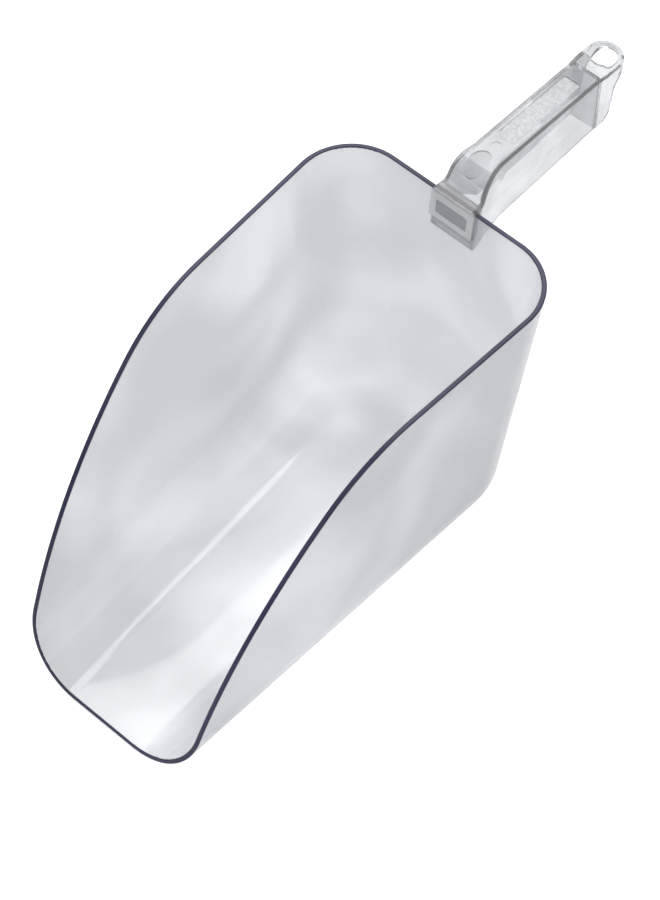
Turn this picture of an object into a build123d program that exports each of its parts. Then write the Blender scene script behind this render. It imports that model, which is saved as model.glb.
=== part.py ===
"""Ice scoop: a deep moulded bowl and a hollow moulded handle that hooks over its back wall.

Units are millimetres and +Z is up, with the bowl standing on its flat floor. X is the width, the
mouth faces -Y and the handle points to +Y. Drawing is done with the outer top edge of the back wall
at Y = 0; on export both pieces shift so that the origin is under the middle of the scoop.
"""

import os
from math import cos, radians, sin, tan

from build123d import *

os.makedirs("parts", exist_ok=True)

# Bowl
RIM_WIDTH = 134.0  # over the side walls at the back rim
RIM_HEIGHT = 154.0
BOWL_LENGTH = 237.0  # back rim to lip, along the floor
WALL = 2.4
SIDE_TAPER = 0.043  # each side closes by this much per unit of length toward the mouth
SIDE_DRAFT = 2.9  # degrees
BACK_DRAFT = 5.0  # degrees
RIM_CORNER_RADIUS = 29.0  # in plan, where the back wall meets the sides at the rim
FLOOR_CORNER_RADIUS = 35.0  # the same corner at floor height
FLOOR_EDGE_RADIUS = 32.0  # between the floor and the walls
RIM_STRAIGHT = 101.5  # level part of the side rim
RIM_BEND_RADIUS = 77.0
RIM_BEND_ANGLE = 40.7  # degrees below level at the end of the bend
LIP_ANGLE = 74.5  # degrees below level where the rim reaches the floor
RIM_ROUND = 0.6  # on both edges of the rim

# Handle, outside
GRIP_HALF_WIDTH = 8.8
FOOT_HALF_WIDTH = 12.2  # of the hook over the rim
FOOT_FLARE = 5.5  # behind the back wall, where the hook has narrowed to the neck
NECK_HALF_WIDTH = 11.0
NECK_LENGTH = 19.0  # behind the back wall, where the neck has narrowed to the grip
TOP_Z = 169.6  # height of the top surface above the back wall
TOP_FALL = 3.3  # degrees the top drops toward the loop
SKIRT_Z = 130.5  # lower edge of the skirts
SHOULDER_RADIUS = 2.0
NECK_FOOT = (2.6, 156.2)
NECK_HEAD_Y = 8.4
NECK_FOOT_RADIUS = 5.0
NECK_HEAD_RADIUS = 11.0
TAIL_FOOT_Y = 96.3
TAIL_WAIST = (98.2, 150.6)
TAIL_HEAD = (106.8, 160.2)
TAIL_FOOT_RADIUS = 6.0
TAIL_WAIST_RADIUS = 8.0

# Handle, inside
PLATE = 2.4  # top plate and neck
SKIRT = 2.2
BULKHEAD_Y = 86.8
BULKHEAD = 2.4
BACK_PLATE = 2.6  # lies against the outside of the bowl
HOLLOW_FOOT_Z = 152.0
HOLLOW_HEAD_Y = 9.6
LEDGE_DROP = 22.0  # below the top surface the skirts thin by a small step
LEDGE = 0.35
LEDGE_START_Y = 6.0
LEDGE_TOP_Z = 150.0

# Hook over the bowl
TAB = 1.6  # thickness inside the bowl
TAB_BOTTOM_Z = 139.3
TAB_MIDDLE_Z = 146.8
TAB_POCKET_HEIGHT = 8.2
TAB_EDGE_RADIUS = 0.9
TAB_POCKET = 0.5
TAB_FRAME = 3.4

# Loop and surface details
LOOP_Y = 100.8
LOOP_RADIUS = 9.4
LOOP_PLATE = 3.0
LOOP_FLARE_Y = (86.0, 92.0)  # where the grip widens into the loop
PLAN_BEND_RADIUS = 20.0
HOLE_RADIUS = 6.7
HOLE_FLAT_Y = 95.4
HOLE_CORNER = 2.0
PANEL_Y = (31.0, 78.5)
PANEL_HALF_WIDTH = 4.6
PANEL_DEPTH = 0.5
PANEL_CORNER = 1.4
THUMB_CENTRE = (12.9, 166.0)
THUMB_TILT = 19.5  # degrees the thumb rest leans toward the bowl
THUMB_RADII = (4.9, 7.4)
THUMB_DEPTH = 0.6
PIN_MARK_RADIUS = 2.2
PIN_MARK_DEPTH = 0.3
PIN_MARKS_Y = (25.2, 83.3, 92.7)
REACH = 40.0  # how far cutting shapes run past the solid
TOUCH = 0.01  # two shapes closer than this meet


def trough(inset):
    """Solid block of the bowl's walls and floor, moved inward by inset, with its mouth end uncut."""
    draft_x = RIM_HEIGHT * tan(radians(SIDE_DRAFT))
    draft_y = RIM_HEIGHT * tan(radians(BACK_DRAFT))
    front = -BOWL_LENGTH - REACH - inset
    sections = (
        (0.0, draft_x, draft_y, FLOOR_CORNER_RADIUS),
        (RIM_HEIGHT, 0.0, 0.0, RIM_CORNER_RADIUS),
    )
    with BuildPart() as block:
        for z, in_x, in_y, corner in sections:
            back = -in_y - inset / cos(radians(BACK_DRAFT))
            half = RIM_WIDTH / 2 - in_x - inset / cos(radians(SIDE_DRAFT))
            with BuildSketch(Plane.XY.offset(z)):
                with BuildLine():
                    Polyline(
                        (half + SIDE_TAPER * back, back),
                        (-half - SIDE_TAPER * back, back),
                        (-half - SIDE_TAPER * front, front),
                        (half + SIDE_TAPER * front, front),
                        close=True,
                    )
                plan = make_face()
                fillet(plan.vertices().group_by(Axis.Y)[-1], radius=corner - inset)
        loft(ruled=True)
        if inset:
            split(bisect_by=Plane.XY.offset(inset), keep=Keep.TOP)
        floor = block.faces().sort_by(Axis.Z)[0]
        mouth_edge = floor.edges().sort_by(Axis.Y)[0]
        fillet(floor.edges() - ShapeList([mouth_edge]), radius=FLOOR_EDGE_RADIUS - inset)
    return block.part


def top_z(y):
    """Height of the handle's top surface at a distance y behind the back wall."""
    return TOP_Z - y * tan(radians(TOP_FALL))


def wall_y(z, depth):
    """Distance of a surface buried by depth behind the outside of the bowl's back wall at height z."""
    return -(RIM_HEIGHT - z) * tan(radians(BACK_DRAFT)) - depth / cos(radians(BACK_DRAFT))


def plan_block(inset):
    """Upright block with the outline of the handle seen from above, moved inward by inset."""
    with BuildPart() as block:
        with BuildSketch(Plane.XY.offset(SKIRT_Z - REACH)):
            with BuildLine():
                Polyline(
                    (0.0, -REACH),
                    (FOOT_HALF_WIDTH - inset, -REACH),
                    (FOOT_HALF_WIDTH - inset, 0.0),
                    (NECK_HALF_WIDTH - inset, FOOT_FLARE),
                    (GRIP_HALF_WIDTH - inset, NECK_LENGTH),
                    (GRIP_HALF_WIDTH - inset, LOOP_FLARE_Y[0]),
                    (LOOP_RADIUS - inset, LOOP_FLARE_Y[1]),
                    (LOOP_RADIUS - inset, LOOP_Y),
                    (0.0, LOOP_Y),
                    close=True,
                )
            half_plan = make_face()
            bend_ys = (0.0, FOOT_FLARE, NECK_LENGTH, *LOOP_FLARE_Y)
            bends = half_plan.vertices().filter_by(lambda v: v.X > 0 and v.Y in bend_ys)
            fillet(bends, radius=PLAN_BEND_RADIUS)
            mirror(about=Plane.YZ)
            with Locations((0.0, LOOP_Y)):
                Circle(LOOP_RADIUS - inset)
        extrude(amount=3 * REACH)
    return block.part


def on_line(edge, line):
    """Whether an edge lies on a line drawn in the side view, seen along X."""
    points = (edge @ 0, edge @ 0.5, edge @ 1)
    return all(line.distance_to(Vertex(point.Y, point.Z, 0.0)) < TOUCH for point in points)


# ---------------------------------------------------------------- bowl
outer_block = trough(0.0)
inner_block = trough(WALL)

with BuildPart() as bowl:
    add(outer_block)
    add(inner_block, mode=Mode.SUBTRACT)
    with BuildSketch(Plane.YZ) as kept_side:
        with BuildLine():
            level = Line((REACH, RIM_HEIGHT), (-RIM_STRAIGHT, RIM_HEIGHT))
            bend = JernArc(level @ 1, level % 1, RIM_BEND_RADIUS, RIM_BEND_ANGLE)
            slope_radius = (bend @ 1).Y / (cos(radians(RIM_BEND_ANGLE)) - cos(radians(LIP_ANGLE)))
            slope = JernArc(bend @ 1, bend % 1, slope_radius, LIP_ANGLE - RIM_BEND_ANGLE)
            Polyline(slope @ 1, (REACH, 0.0), level @ 0)
        make_face()
    extrude(amount=RIM_WIDTH, both=True, mode=Mode.INTERSECT)
    rim_line = Wire([level.edge(), bend.edge(), slope.edge()])
    rim_edges = bowl.edges().filter_by(lambda e: e.length > 2 * WALL and on_line(e, rim_line))
    fillet(rim_edges, radius=RIM_ROUND)

# ---------------------------------------------------------------- handle
outline_block = plan_block(0.0)
hollow_block = plan_block(SKIRT)
ledge_block = plan_block(LEDGE)

with BuildPart() as handle_hollow:
    with BuildSketch(Plane.YZ) as hollow_side:
        with BuildLine():
            Polyline(
                (wall_y(SKIRT_Z - REACH / 2, -BACK_PLATE), SKIRT_Z - REACH / 2),
                (wall_y(HOLLOW_FOOT_Z, -BACK_PLATE), HOLLOW_FOOT_Z),
                (HOLLOW_HEAD_Y, top_z(HOLLOW_HEAD_Y) - PLATE),
                (BULKHEAD_Y, top_z(BULKHEAD_Y) - PLATE),
                (BULKHEAD_Y, SKIRT_Z - REACH / 2),
                close=True,
            )
        make_face()
        hollow_head = hollow_side.vertices().sort_by_distance(
            (HOLLOW_HEAD_Y, top_z(HOLLOW_HEAD_Y) - PLATE, 0.0)
        )[0]
        fillet(hollow_head, radius=NECK_HEAD_RADIUS - PLATE)
        with BuildLine():
            Polyline(
                (BULKHEAD_Y + BULKHEAD, SKIRT_Z - REACH / 2),
                (BULKHEAD_Y + BULKHEAD, top_z(BULKHEAD_Y + BULKHEAD) - LOOP_PLATE),
                (LOOP_Y + REACH, top_z(LOOP_Y + REACH) - LOOP_PLATE),
                (LOOP_Y + REACH, SKIRT_Z - REACH / 2),
                close=True,
            )
        make_face()
    extrude(amount=REACH, both=True)
    add(hollow_block, mode=Mode.INTERSECT)

# Thin skin taken off the lower part of the skirts, below a line parallel to the top surface.
with BuildPart() as skirt_skin:
    with BuildSketch(Plane.YZ):
        with BuildLine():
            Polyline(
                (LEDGE_START_Y, top_z(LEDGE_START_Y) - LEDGE_DROP),
                (LOOP_Y + REACH, top_z(LOOP_Y + REACH) - LEDGE_DROP),
                (LOOP_Y + REACH, SKIRT_Z - REACH / 2),
                (LEDGE_START_Y, SKIRT_Z - REACH / 2),
                close=True,
            )
        make_face()
    extrude(amount=REACH, both=True)
    add(ledge_block, mode=Mode.SUBTRACT)

with BuildPart() as handle:
    with BuildSketch(Plane.YZ) as side_view:
        with BuildLine():
            Polyline(
                (wall_y(TAB_BOTTOM_Z, WALL), TAB_BOTTOM_Z),
                (wall_y(TAB_BOTTOM_Z, WALL + TAB), TAB_BOTTOM_Z),
                (wall_y(NECK_FOOT[1], WALL + TAB), NECK_FOOT[1]),
                NECK_FOOT,
                (NECK_HEAD_Y, top_z(NECK_HEAD_Y)),
                (LOOP_Y + REACH, top_z(LOOP_Y + REACH)),
                (LOOP_Y + REACH, TAIL_HEAD[1]),
                TAIL_HEAD,
                TAIL_WAIST,
                (TAIL_FOOT_Y, SKIRT_Z),
                (wall_y(SKIRT_Z, 0.0), SKIRT_Z),
                (0.0, RIM_HEIGHT),
                (wall_y(RIM_HEIGHT, WALL), RIM_HEIGHT),
                close=True,
            )
        make_face()
        for point, radius in (
            (NECK_FOOT, NECK_FOOT_RADIUS),
            ((NECK_HEAD_Y, top_z(NECK_HEAD_Y)), NECK_HEAD_RADIUS),
            (TAIL_WAIST, TAIL_WAIST_RADIUS),
            ((TAIL_FOOT_Y, SKIRT_Z), TAIL_FOOT_RADIUS),
        ):
            bend_corner = side_view.vertices().sort_by_distance((*point, 0.0))[0]
            fillet(bend_corner, radius=radius)
    extrude(amount=REACH, both=True)
    add(outline_block, mode=Mode.INTERSECT)

    # Rounded shoulders; each follows its tangent chain from the hook round the loop.
    grip_edges = handle.edges().filter_by(
        lambda e: e.length > REACH and e.center().Z > LEDGE_TOP_Z and abs(e.center().X) > SKIRT
    )
    fillet(grip_edges, radius=SHOULDER_RADIUS)
    add(handle_hollow.part, mode=Mode.SUBTRACT)
    add(skirt_skin.part, mode=Mode.SUBTRACT)

    # Frame left standing round a shallow pocket in the tab's face inside the bowl.
    tab_plane = Plane(
        origin=(0.0, wall_y(TAB_MIDDLE_Z, WALL + TAB), TAB_MIDDLE_Z),
        x_dir=(1.0, 0.0, 0.0),
        z_dir=(0.0, -cos(radians(BACK_DRAFT)), sin(radians(BACK_DRAFT))),
    )
    with BuildSketch(tab_plane):
        RectangleRounded(2 * (FOOT_HALF_WIDTH - TAB_FRAME), TAB_POCKET_HEIGHT, TAB_EDGE_RADIUS)
    extrude(amount=-TAB_POCKET, mode=Mode.SUBTRACT)

    # Hanging hole, flat toward the grip.
    top_plane = Plane(
        origin=(0.0, 0.0, TOP_Z),
        x_dir=(1.0, 0.0, 0.0),
        z_dir=(0.0, tan(radians(TOP_FALL)), 1.0),
    )
    with BuildSketch(Plane.XY.offset(TOP_Z)):
        with Locations((0.0, (HOLE_FLAT_Y + LOOP_Y) / 2)):
            flat_end = Rectangle(2 * HOLE_RADIUS, LOOP_Y - HOLE_FLAT_Y)
        fillet(flat_end.vertices().group_by(Axis.Y)[0], radius=HOLE_CORNER)
        with Locations((0.0, LOOP_Y)):
            Circle(HOLE_RADIUS)
    extrude(amount=-REACH, mode=Mode.SUBTRACT)

    # Recessed panel and round pin marks in the top surface.
    with BuildSketch(top_plane):
        with Locations((0.0, (PANEL_Y[0] + PANEL_Y[1]) / 2)):
            RectangleRounded(2 * PANEL_HALF_WIDTH, PANEL_Y[1] - PANEL_Y[0], PANEL_CORNER)
    extrude(amount=-PANEL_DEPTH, mode=Mode.SUBTRACT)
    with BuildSketch(top_plane):
        for mark_y in PIN_MARKS_Y:
            with Locations((0.0, mark_y)):
                Circle(PIN_MARK_RADIUS)
    extrude(amount=-PIN_MARK_DEPTH, mode=Mode.SUBTRACT)

    # Oval thumb rest, sunk to an even depth round the bend between the neck and the grip.
    with BuildPart(mode=Mode.PRIVATE) as thumb_floor:
        with BuildSketch(Plane.YZ) as floor_side:
            with BuildLine():
                Polyline(
                    NECK_FOOT,
                    (NECK_HEAD_Y, top_z(NECK_HEAD_Y)),
                    (LOOP_Y, top_z(LOOP_Y)),
                    (LOOP_Y, SKIRT_Z),
                    close=True,
                )
            make_face()
            head = (NECK_HEAD_Y, top_z(NECK_HEAD_Y), 0.0)
            fillet(floor_side.vertices().sort_by_distance(head)[0], radius=NECK_HEAD_RADIUS)
            offset(amount=-THUMB_DEPTH, mode=Mode.REPLACE)
        extrude(amount=REACH, both=True)
    with BuildPart(mode=Mode.PRIVATE) as thumb_rest:
        with BuildSketch(
            Plane(
                origin=(0.0, *THUMB_CENTRE),
                x_dir=(1.0, 0.0, 0.0),
                z_dir=(0.0, -sin(radians(THUMB_TILT)), cos(radians(THUMB_TILT))),
            )
        ):
            Ellipse(*THUMB_RADII)
        extrude(amount=NECK_HEAD_RADIUS, both=True)
        add(thumb_floor.part, mode=Mode.SUBTRACT)
    add(thumb_rest.part, mode=Mode.SUBTRACT)

# ---------------------------------------------------------------- export
# Both pieces move together so that the origin is under the middle of the whole scoop.
middle_y = (bowl.part.bounding_box().min.Y + handle.part.bounding_box().max.Y) / 2

bowl.part.position = (0.0, -middle_y, 0.0)
bowl.part.label = "bowl"
export_step(bowl.part, "parts/bowl.step")

handle.part.position = (0.0, -middle_y, 0.0)
handle.part.label = "handle"
export_step(handle.part, "parts/handle.step")
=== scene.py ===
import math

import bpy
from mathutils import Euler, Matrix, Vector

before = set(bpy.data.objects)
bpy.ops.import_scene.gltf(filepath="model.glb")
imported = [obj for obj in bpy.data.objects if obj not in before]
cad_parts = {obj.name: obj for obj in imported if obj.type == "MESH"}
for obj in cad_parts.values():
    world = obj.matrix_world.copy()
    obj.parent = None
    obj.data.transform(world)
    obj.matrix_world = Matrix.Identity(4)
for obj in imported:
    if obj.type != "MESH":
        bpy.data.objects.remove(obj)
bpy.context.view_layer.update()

# Clear polycarbonate ice scoop. Both CAD nodes keep their meshes and get procedural plastics, face by
# face: the bowl is clear, with painted shade along the rim in an opaque dark blue that stands in for the
# way light gathers in the edge of the clear sheet; the handle is clear, with finishes of its own for the
# sunk panel and the thumb rest, a painted highlight in near white on the tab's frame, and painted shade
# in dark grey on its thin edges and recess walls and in the rim's dark blue in the slot over the rim.
# Lengths are in metres and +Z is up.

# Bowl: its rim line in the side view is level at the back, then a bend, then a long arc to the lip
RIM_Z = 0.154
RIM_BACK_Y = 0.08  # behind the whole rim
BEND_START_Y = -0.037883
BEND_RADIUS = 0.077
BEND_ANGLE = math.radians(40.7)
BEND_STEPS = 40
LIP_ANGLE = math.radians(74.5)
SLOPE_STEPS = 60
RIM_REACH = 0.0004  # faces this close to the rim line belong to the rim

# Handle
WALL_Y = 0.063617  # outer top edge of the back wall
TOP_Z = 0.1696  # of the top surface at WALL_Y; it falls toward the tail
TOP_FALL = math.tan(math.radians(3.3))
BACK_DRAFT = math.tan(math.radians(5.0))
SKIRT_Z = 0.1305
TAB_FACE = 0.0036  # from the outside of the back wall to just short of the tab's face
NECK_FOOT_Z = 0.157  # just above the foot of the neck, where the tab's frame ends
THUMB_AXIS_Y = 0.07895  # middle of the bend that the thumb rest follows
THUMB_AXIS_Z = 0.1577
THUMB_RADIUS = 0.0104
THUMB_RADIUS_REACH = 0.0002
THUMB_DEPTH = (0.0005, 0.0007)  # of its floor below the top surface
THUMB_END_Y = 0.0845
PANEL_Y = (0.0946, 0.1422)
PANEL_HALF_WIDTH = 0.0048
PANEL_DEPTH = (0.0003, 0.0007)
RECESS_DEPTH = (0.00002, 0.0007)  # of the side faces of everything sunk in the top surface
EDGE_REACH = 0.0004

# Face normals
LEVEL = 0.9  # along an axis
NEARLY_LEVEL = 0.8
UPRIGHT = 0.5  # less than this along Z
RISING = 0.3
SHARP_ANGLE = math.radians(28.0)

# Plastic
IOR = 1.58
RIM_SPECULAR = 0.25
BOWL_SHADE = 0.88  # how much lamp light passes the bowl
HANDLE_SHADE = 0.9
# looks of the handle: finishes of the plastic, with painted shade in dark and edge and a painted highlight
# in frame
HANDLE_LOOKS = ("clear", "dark", "frame", "panel", "edge", "thumb")

# Camera
CAMERA_PLACE = (0.4876, -0.5722, 1.1637)
CAMERA_TURN = (33.457, -0.127, 41.671)  # degrees
LENS = 117.07  # mm
SENSOR = 36.0  # mm

# Studio
HORIZON = (0.30, 0.31, 0.33, 1.0)
OVERHEAD = (1.0, 1.0, 1.0, 1.0)
OVERHEAD_Z = 0.55  # where the sky has reached its overhead colour
BACKDROP = (0.86, 0.86, 0.87, 1.0)
SKY_STRENGTH = 1.1
FLOOR_TONE = (0.95, 0.95, 0.955, 1.0)
FLOOR_TONE_IN_REFLECTIONS = (0.60, 0.60, 0.62, 1.0)
FLOOR_GLOW = 0.28
FLOOR_REACH = 6.0
FLOOR_DROP = 0.0002  # keeps the floor off the underside of the bowl
KEY_PLACE = (-0.7, 0.5, 1.3)
KEY_AIM = (0.0, 0.0, 0.05)
KEY_SIZE = 1.0
KEY_POWER = 8.0

scene = bpy.context.scene
scene.view_settings.view_transform = "Standard"
scene.cycles.transparent_max_bounces = 24
scene.cycles.max_bounces = 20
scene.cycles.transmission_bounces = 20
scene.cycles.sample_clamp_indirect = 3.0


# ---------------------------------------------------------------- materials
def grey(value, blue):
    """Grey with a faint blue cast."""
    return (value, value * (1.0 + 0.3 * blue), value * (1.0 + blue), 1.0)


def add_noise(nodes, **settings):
    """Noise texture whose inputs are set by name."""
    noise = nodes.new("ShaderNodeTexNoise")
    for name, value in settings.items():
        noise.inputs[name].default_value = value
    return noise


def clear_plastic(name, dark, light, clarity, gloss, shade=0.0, blotch_scale=11.0, wave=0.12):
    """Moulded plastic with a cloudy tint, an uneven gloss and slow waves in the surface.
    The tint's soft blotches are partly the plastic's milkiness and partly painted reflections of the studio.

    dark and light are the ends of the tint, clarity is the share of light that passes, gloss is the lowest
    and highest roughness, and shade is how much lamp light passes, or zero for an opaque shadow.
    """
    material = bpy.data.materials.new(name)
    material.use_nodes = True
    nodes = material.node_tree.nodes
    links = material.node_tree.links
    shader = nodes["Principled BSDF"]
    shader.inputs["IOR"].default_value = IOR
    shader.inputs["Transmission Weight"].default_value = clarity
    place = nodes.new("ShaderNodeTexCoord").outputs["Object"]

    # soft blotches in the tint: the plastic's milkiness and painted reflections of the studio
    clouds_and_reflections = add_noise(nodes, Scale=blotch_scale, Detail=2.5, Roughness=0.45, Distortion=0.6)
    tint = nodes.new("ShaderNodeValToRGB")
    tint.color_ramp.interpolation = "EASE"
    for element, position, colour in zip(tint.color_ramp.elements, (0.33, 0.68), (dark, light)):
        element.position = position
        element.color = colour
    links.new(place, clouds_and_reflections.inputs["Vector"])
    links.new(clouds_and_reflections.outputs["Fac"], tint.inputs["Fac"])
    links.new(tint.outputs["Color"], shader.inputs["Base Color"])

    handling = add_noise(nodes, Scale=46.0, Detail=5.0)
    uneven = nodes.new("ShaderNodeMapRange")
    uneven.inputs["From Min"].default_value = 0.3
    uneven.inputs["From Max"].default_value = 0.75
    uneven.inputs["To Min"].default_value = gloss[0]
    uneven.inputs["To Max"].default_value = gloss[1]
    links.new(place, handling.inputs["Vector"])
    links.new(handling.outputs["Fac"], uneven.inputs["Value"])
    links.new(uneven.outputs["Result"], shader.inputs["Roughness"])

    flow = add_noise(nodes, Scale=26.0, Detail=1.0)
    waves = nodes.new("ShaderNodeBump")
    waves.inputs["Strength"].default_value = wave
    waves.inputs["Distance"].default_value = 0.002
    links.new(place, flow.inputs["Vector"])
    links.new(flow.outputs["Fac"], waves.inputs["Height"])
    links.new(waves.outputs["Normal"], shader.inputs["Normal"])

    if shade:
        let_light_through(material, shade)
    return material


def let_light_through(material, shade):
    """Lamps shine through the plastic, dimmed by shade, so that its shadow is a light one."""
    nodes = material.node_tree.nodes
    links = material.node_tree.links
    clear = nodes.new("ShaderNodeBsdfTransparent")
    clear.inputs["Color"].default_value = (shade, shade, shade, 1.0)
    ray = nodes.new("ShaderNodeLightPath")
    mix = nodes.new("ShaderNodeMixShader")
    links.new(ray.outputs["Is Shadow Ray"], mix.inputs["Fac"])
    links.new(nodes["Principled BSDF"].outputs["BSDF"], mix.inputs[1])
    links.new(clear.outputs["BSDF"], mix.inputs[2])
    links.new(mix.outputs["Shader"], nodes["Material Output"].inputs["Surface"])


def rim_edge_shade():
    """Opaque dark blue that stands in for the way light gathers in the edge of the clear sheet."""
    material = clear_plastic(
        "bowl_rim_painted_shade", (0.016, 0.017, 0.046, 1.0), (0.030, 0.032, 0.075, 1.0), 0.0, (0.15, 0.3), wave=0.0
    )
    shader = material.node_tree.nodes["Principled BSDF"]
    shader.inputs["Specular IOR Level"].default_value = RIM_SPECULAR
    return material


# ---------------------------------------------------------------- bowl
def rim_line():
    """Points along the rim line, as (y, z)."""
    points = [(RIM_BACK_Y, RIM_Z), (BEND_START_Y, RIM_Z)]
    for step in range(1, BEND_STEPS + 1):
        angle = BEND_ANGLE * step / BEND_STEPS
        points.append((
            BEND_START_Y - BEND_RADIUS * math.sin(angle),
            RIM_Z - BEND_RADIUS * (1.0 - math.cos(angle)),
        ))
    start_y, start_z = points[-1]
    radius = start_z / (math.cos(BEND_ANGLE) - math.cos(LIP_ANGLE))
    for step in range(1, SLOPE_STEPS + 1):
        angle = BEND_ANGLE + (LIP_ANGLE - BEND_ANGLE) * step / SLOPE_STEPS
        points.append((
            start_y - radius * (math.sin(angle) - math.sin(BEND_ANGLE)),
            start_z - radius * (math.cos(BEND_ANGLE) - math.cos(angle)),
        ))
    return points


def distance_to_line(y, z, line):
    """Shortest distance from a point to a line of (y, z) points."""
    best = math.inf
    for (y0, z0), (y1, z1) in zip(line, line[1:]):
        dy, dz = y1 - y0, z1 - z0
        along = ((y - y0) * dy + (z - z0) * dz) / (dy * dy + dz * dz)
        along = max(0.0, min(1.0, along))
        best = min(best, math.hypot(y - y0 - along * dy, z - z0 - along * dz))
    return best


def dress_bowl():
    """Clear walls and floor, and painted shade in dark blue along the rim; returns the rim's material."""
    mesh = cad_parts["bowl"].data
    mesh.materials.clear()
    mesh.materials.append(
        clear_plastic("bowl_clear", grey(0.62, 0.05), grey(0.80, 0.04), 0.68, (0.05, 0.13), BOWL_SHADE)
    )
    # painted shade along the rim: an opaque dark blue standing in for the edge of the clear sheet
    rim = rim_edge_shade()
    mesh.materials.append(rim)
    mesh.set_sharp_from_angle(angle=SHARP_ANGLE)
    line = rim_line()
    # faces along the rim line take the rim's painted shade
    for face in mesh.polygons:
        _, y, z = face.center
        if distance_to_line(y, z, line) < RIM_REACH:
            face.material_index = 1
    return rim


# ---------------------------------------------------------------- handle
def between(value, limits):
    return limits[0] < value < limits[1]


def handle_look(face):
    """Name of the look of a face of the handle: a finish, a painted highlight or painted shade."""
    x, y, z = face.center
    _, normal_y, normal_z = face.normal
    depth = TOP_Z - (y - WALL_Y) * TOP_FALL - z
    faces_down = normal_z < -NEARLY_LEVEL
    # the slot over the bowl's rim: painted shade, as dark as the rim
    if faces_down and abs(z - RIM_Z) < EDGE_REACH and y < WALL_Y + EDGE_REACH:
        return "dark"
    # downward faces at the foot of the skirts: painted shade in dark grey on the thin edges
    if faces_down and z < SKIRT_Z + EDGE_REACH:
        return "edge"
    # the tab's front faces: a painted highlight in near white
    tab_y = WALL_Y - (RIM_Z - z) * BACK_DRAFT - TAB_FACE
    if normal_y < -LEVEL and z < NECK_FOOT_Z and y < tab_y:
        return "frame"
    over_recess = abs(x) < PANEL_HALF_WIDTH + EDGE_REACH
    if normal_z > RISING and over_recess and y < THUMB_END_Y:
        from_axis = math.hypot(y - THUMB_AXIS_Y, z - THUMB_AXIS_Z)
        on_bend = abs(from_axis - THUMB_RADIUS) < THUMB_RADIUS_REACH
        if on_bend or between(depth, THUMB_DEPTH):
            return "thumb"
    over_panel = between(y, PANEL_Y) and abs(x) < PANEL_HALF_WIDTH
    if normal_z > LEVEL and over_panel and between(depth, PANEL_DEPTH):
        return "panel"
    # side walls of everything sunk in the top surface: painted shade in dark grey
    if abs(normal_z) < UPRIGHT and over_recess and between(depth, RECESS_DEPTH):
        return "edge"
    return "clear"


def dress_handle(rim):
    """A material for each face of the handle; painted shade in the slot over the rim, as dark as the rim."""
    looks = {
        "clear": clear_plastic(
            "handle_clear", grey(0.50, 0.05), grey(0.64, 0.04), 0.86, (0.01, 0.04), HANDLE_SHADE, 40.0, 0.2
        ),
        # painted shade in the slot: the rim's dark blue
        "dark": rim,
        # painted highlight on the tab's frame: near white
        "frame": clear_plastic(
            "handle_frame_painted_highlight", grey(0.88, 0.01), grey(0.95, 0.01), 0.55, (0.1, 0.2), HANDLE_SHADE, 90.0, 0.3
        ),
        "panel": clear_plastic(
            "handle_panel", grey(0.52, 0.05), grey(0.74, 0.03), 0.62, (0.25, 0.45), HANDLE_SHADE, 620.0, 0.4
        ),
        # painted shade on the thin edges and recess walls: dark grey
        "edge": clear_plastic(
            "handle_edge_painted_shade", grey(0.12, 0.15), grey(0.26, 0.10), 0.6, (0.05, 0.12), HANDLE_SHADE, 60.0
        ),
        "thumb": clear_plastic(
            "handle_thumb", grey(0.42, 0.06), grey(0.52, 0.05), 0.82, (0.06, 0.14), HANDLE_SHADE, 90.0, 0.3
        ),
    }
    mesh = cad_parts["handle"].data
    mesh.materials.clear()
    for look in HANDLE_LOOKS:
        mesh.materials.append(looks[look])
    mesh.set_sharp_from_angle(angle=SHARP_ANGLE)
    for face in mesh.polygons:
        face.material_index = HANDLE_LOOKS.index(handle_look(face))


# ---------------------------------------------------------------- studio
def add_camera():
    data = bpy.data.cameras.new("camera")
    data.lens = LENS
    data.sensor_width = SENSOR
    data.clip_start = 0.05
    data.clip_end = 50.0
    camera = bpy.data.objects.new("camera", data)
    camera.location = CAMERA_PLACE
    camera.rotation_euler = Euler([math.radians(turn) for turn in CAMERA_TURN])
    scene.collection.objects.link(camera)
    scene.camera = camera


def add_key_lamp():
    """Large soft lamp high on the side away from the camera."""
    data = bpy.data.lights.new("key", "AREA")
    data.shape = "RECTANGLE"
    data.size = KEY_SIZE
    data.size_y = KEY_SIZE
    data.energy = KEY_POWER
    lamp = bpy.data.objects.new("key", data)
    lamp.location = KEY_PLACE
    toward = Vector(KEY_AIM) - Vector(KEY_PLACE)
    lamp.rotation_euler = toward.to_track_quat("-Z", "Y").to_euler()
    scene.collection.objects.link(lamp)


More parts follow.
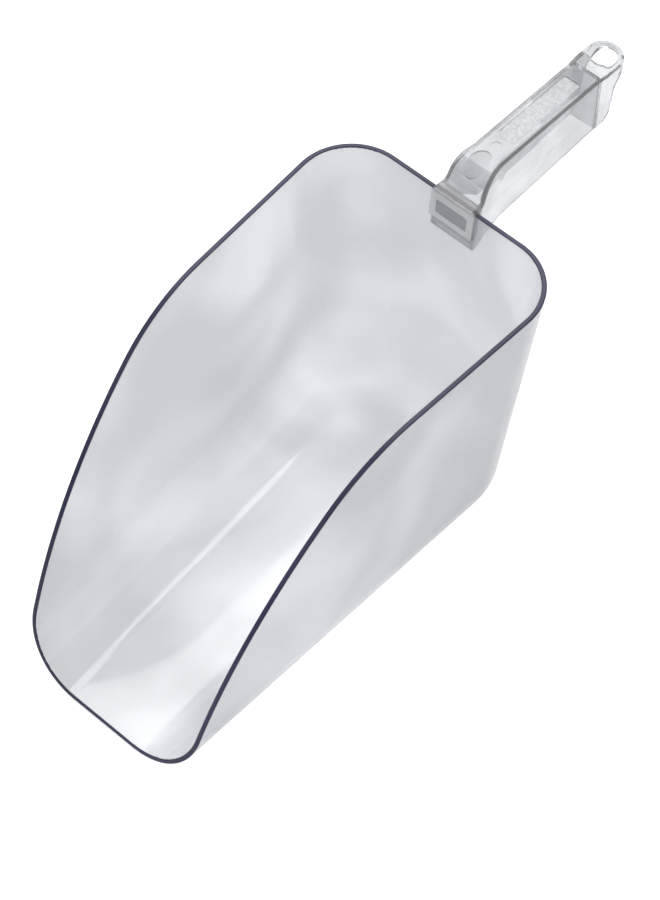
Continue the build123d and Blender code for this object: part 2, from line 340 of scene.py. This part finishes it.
def add_world():
    """White studio, bright overhead and dimmer toward the horizon; the camera alone sees a pale backdrop."""
    world = bpy.data.worlds.new("studio")
    scene.world = world
    world.use_nodes = True
    nodes = world.node_tree.nodes
    links = world.node_tree.links
    place = nodes.new("ShaderNodeTexCoord")
    split = nodes.new("ShaderNodeSeparateXYZ")
    sky = nodes.new("ShaderNodeValToRGB")
    for element, position, colour in zip(sky.color_ramp.elements, (0.0, OVERHEAD_Z), (HORIZON, OVERHEAD)):
        element.position = position
        element.color = colour
    links.new(place.outputs["Generated"], split.inputs["Vector"])
    links.new(split.outputs["Z"], sky.inputs["Fac"])
    backdrop = nodes.new("ShaderNodeMix")
    backdrop.data_type = "RGBA"
    backdrop.inputs["B"].default_value = BACKDROP
    ray = nodes.new("ShaderNodeLightPath")
    links.new(ray.outputs["Is Camera Ray"], backdrop.inputs["Factor"])
    links.new(sky.outputs["Color"], backdrop.inputs["A"])
    links.new(backdrop.outputs["Result"], nodes["Background"].inputs["Color"])
    nodes["Background"].inputs["Strength"].default_value = SKY_STRENGTH


def add_floor():
    """Pale floor with a slight glow, darker where the plastic reflects it."""
    corners = ((-1, -1), (1, -1), (1, 1), (-1, 1))
    mesh = bpy.data.meshes.new("floor")
    points = [(x * FLOOR_REACH, y * FLOOR_REACH, -FLOOR_DROP) for x, y in corners]
    mesh.from_pydata(points, [], [(0, 1, 2, 3)])
    floor = bpy.data.objects.new("floor", mesh)
    scene.collection.objects.link(floor)
    material = bpy.data.materials.new("floor")
    material.use_nodes = True
    nodes = material.node_tree.nodes
    links = material.node_tree.links
    shader = nodes["Principled BSDF"]
    tone = nodes.new("ShaderNodeMix")
    tone.data_type = "RGBA"
    tone.inputs["A"].default_value = FLOOR_TONE
    tone.inputs["B"].default_value = FLOOR_TONE_IN_REFLECTIONS
    ray = nodes.new("ShaderNodeLightPath")
    links.new(ray.outputs["Is Reflection Ray"], tone.inputs["Factor"])
    links.new(tone.outputs["Result"], shader.inputs["Base Color"])
    shader.inputs["Emission Color"].default_value = (1.0, 1.0, 1.0, 1.0)
    shader.inputs["Emission Strength"].default_value = FLOOR_GLOW
    shader.inputs["Roughness"].default_value = 0.95
    shader.inputs["Specular IOR Level"].default_value = 0.1
    mesh.materials.append(material)


dress_handle(dress_bowl())
add_camera()
add_world()
add_floor()
add_key_lamp()
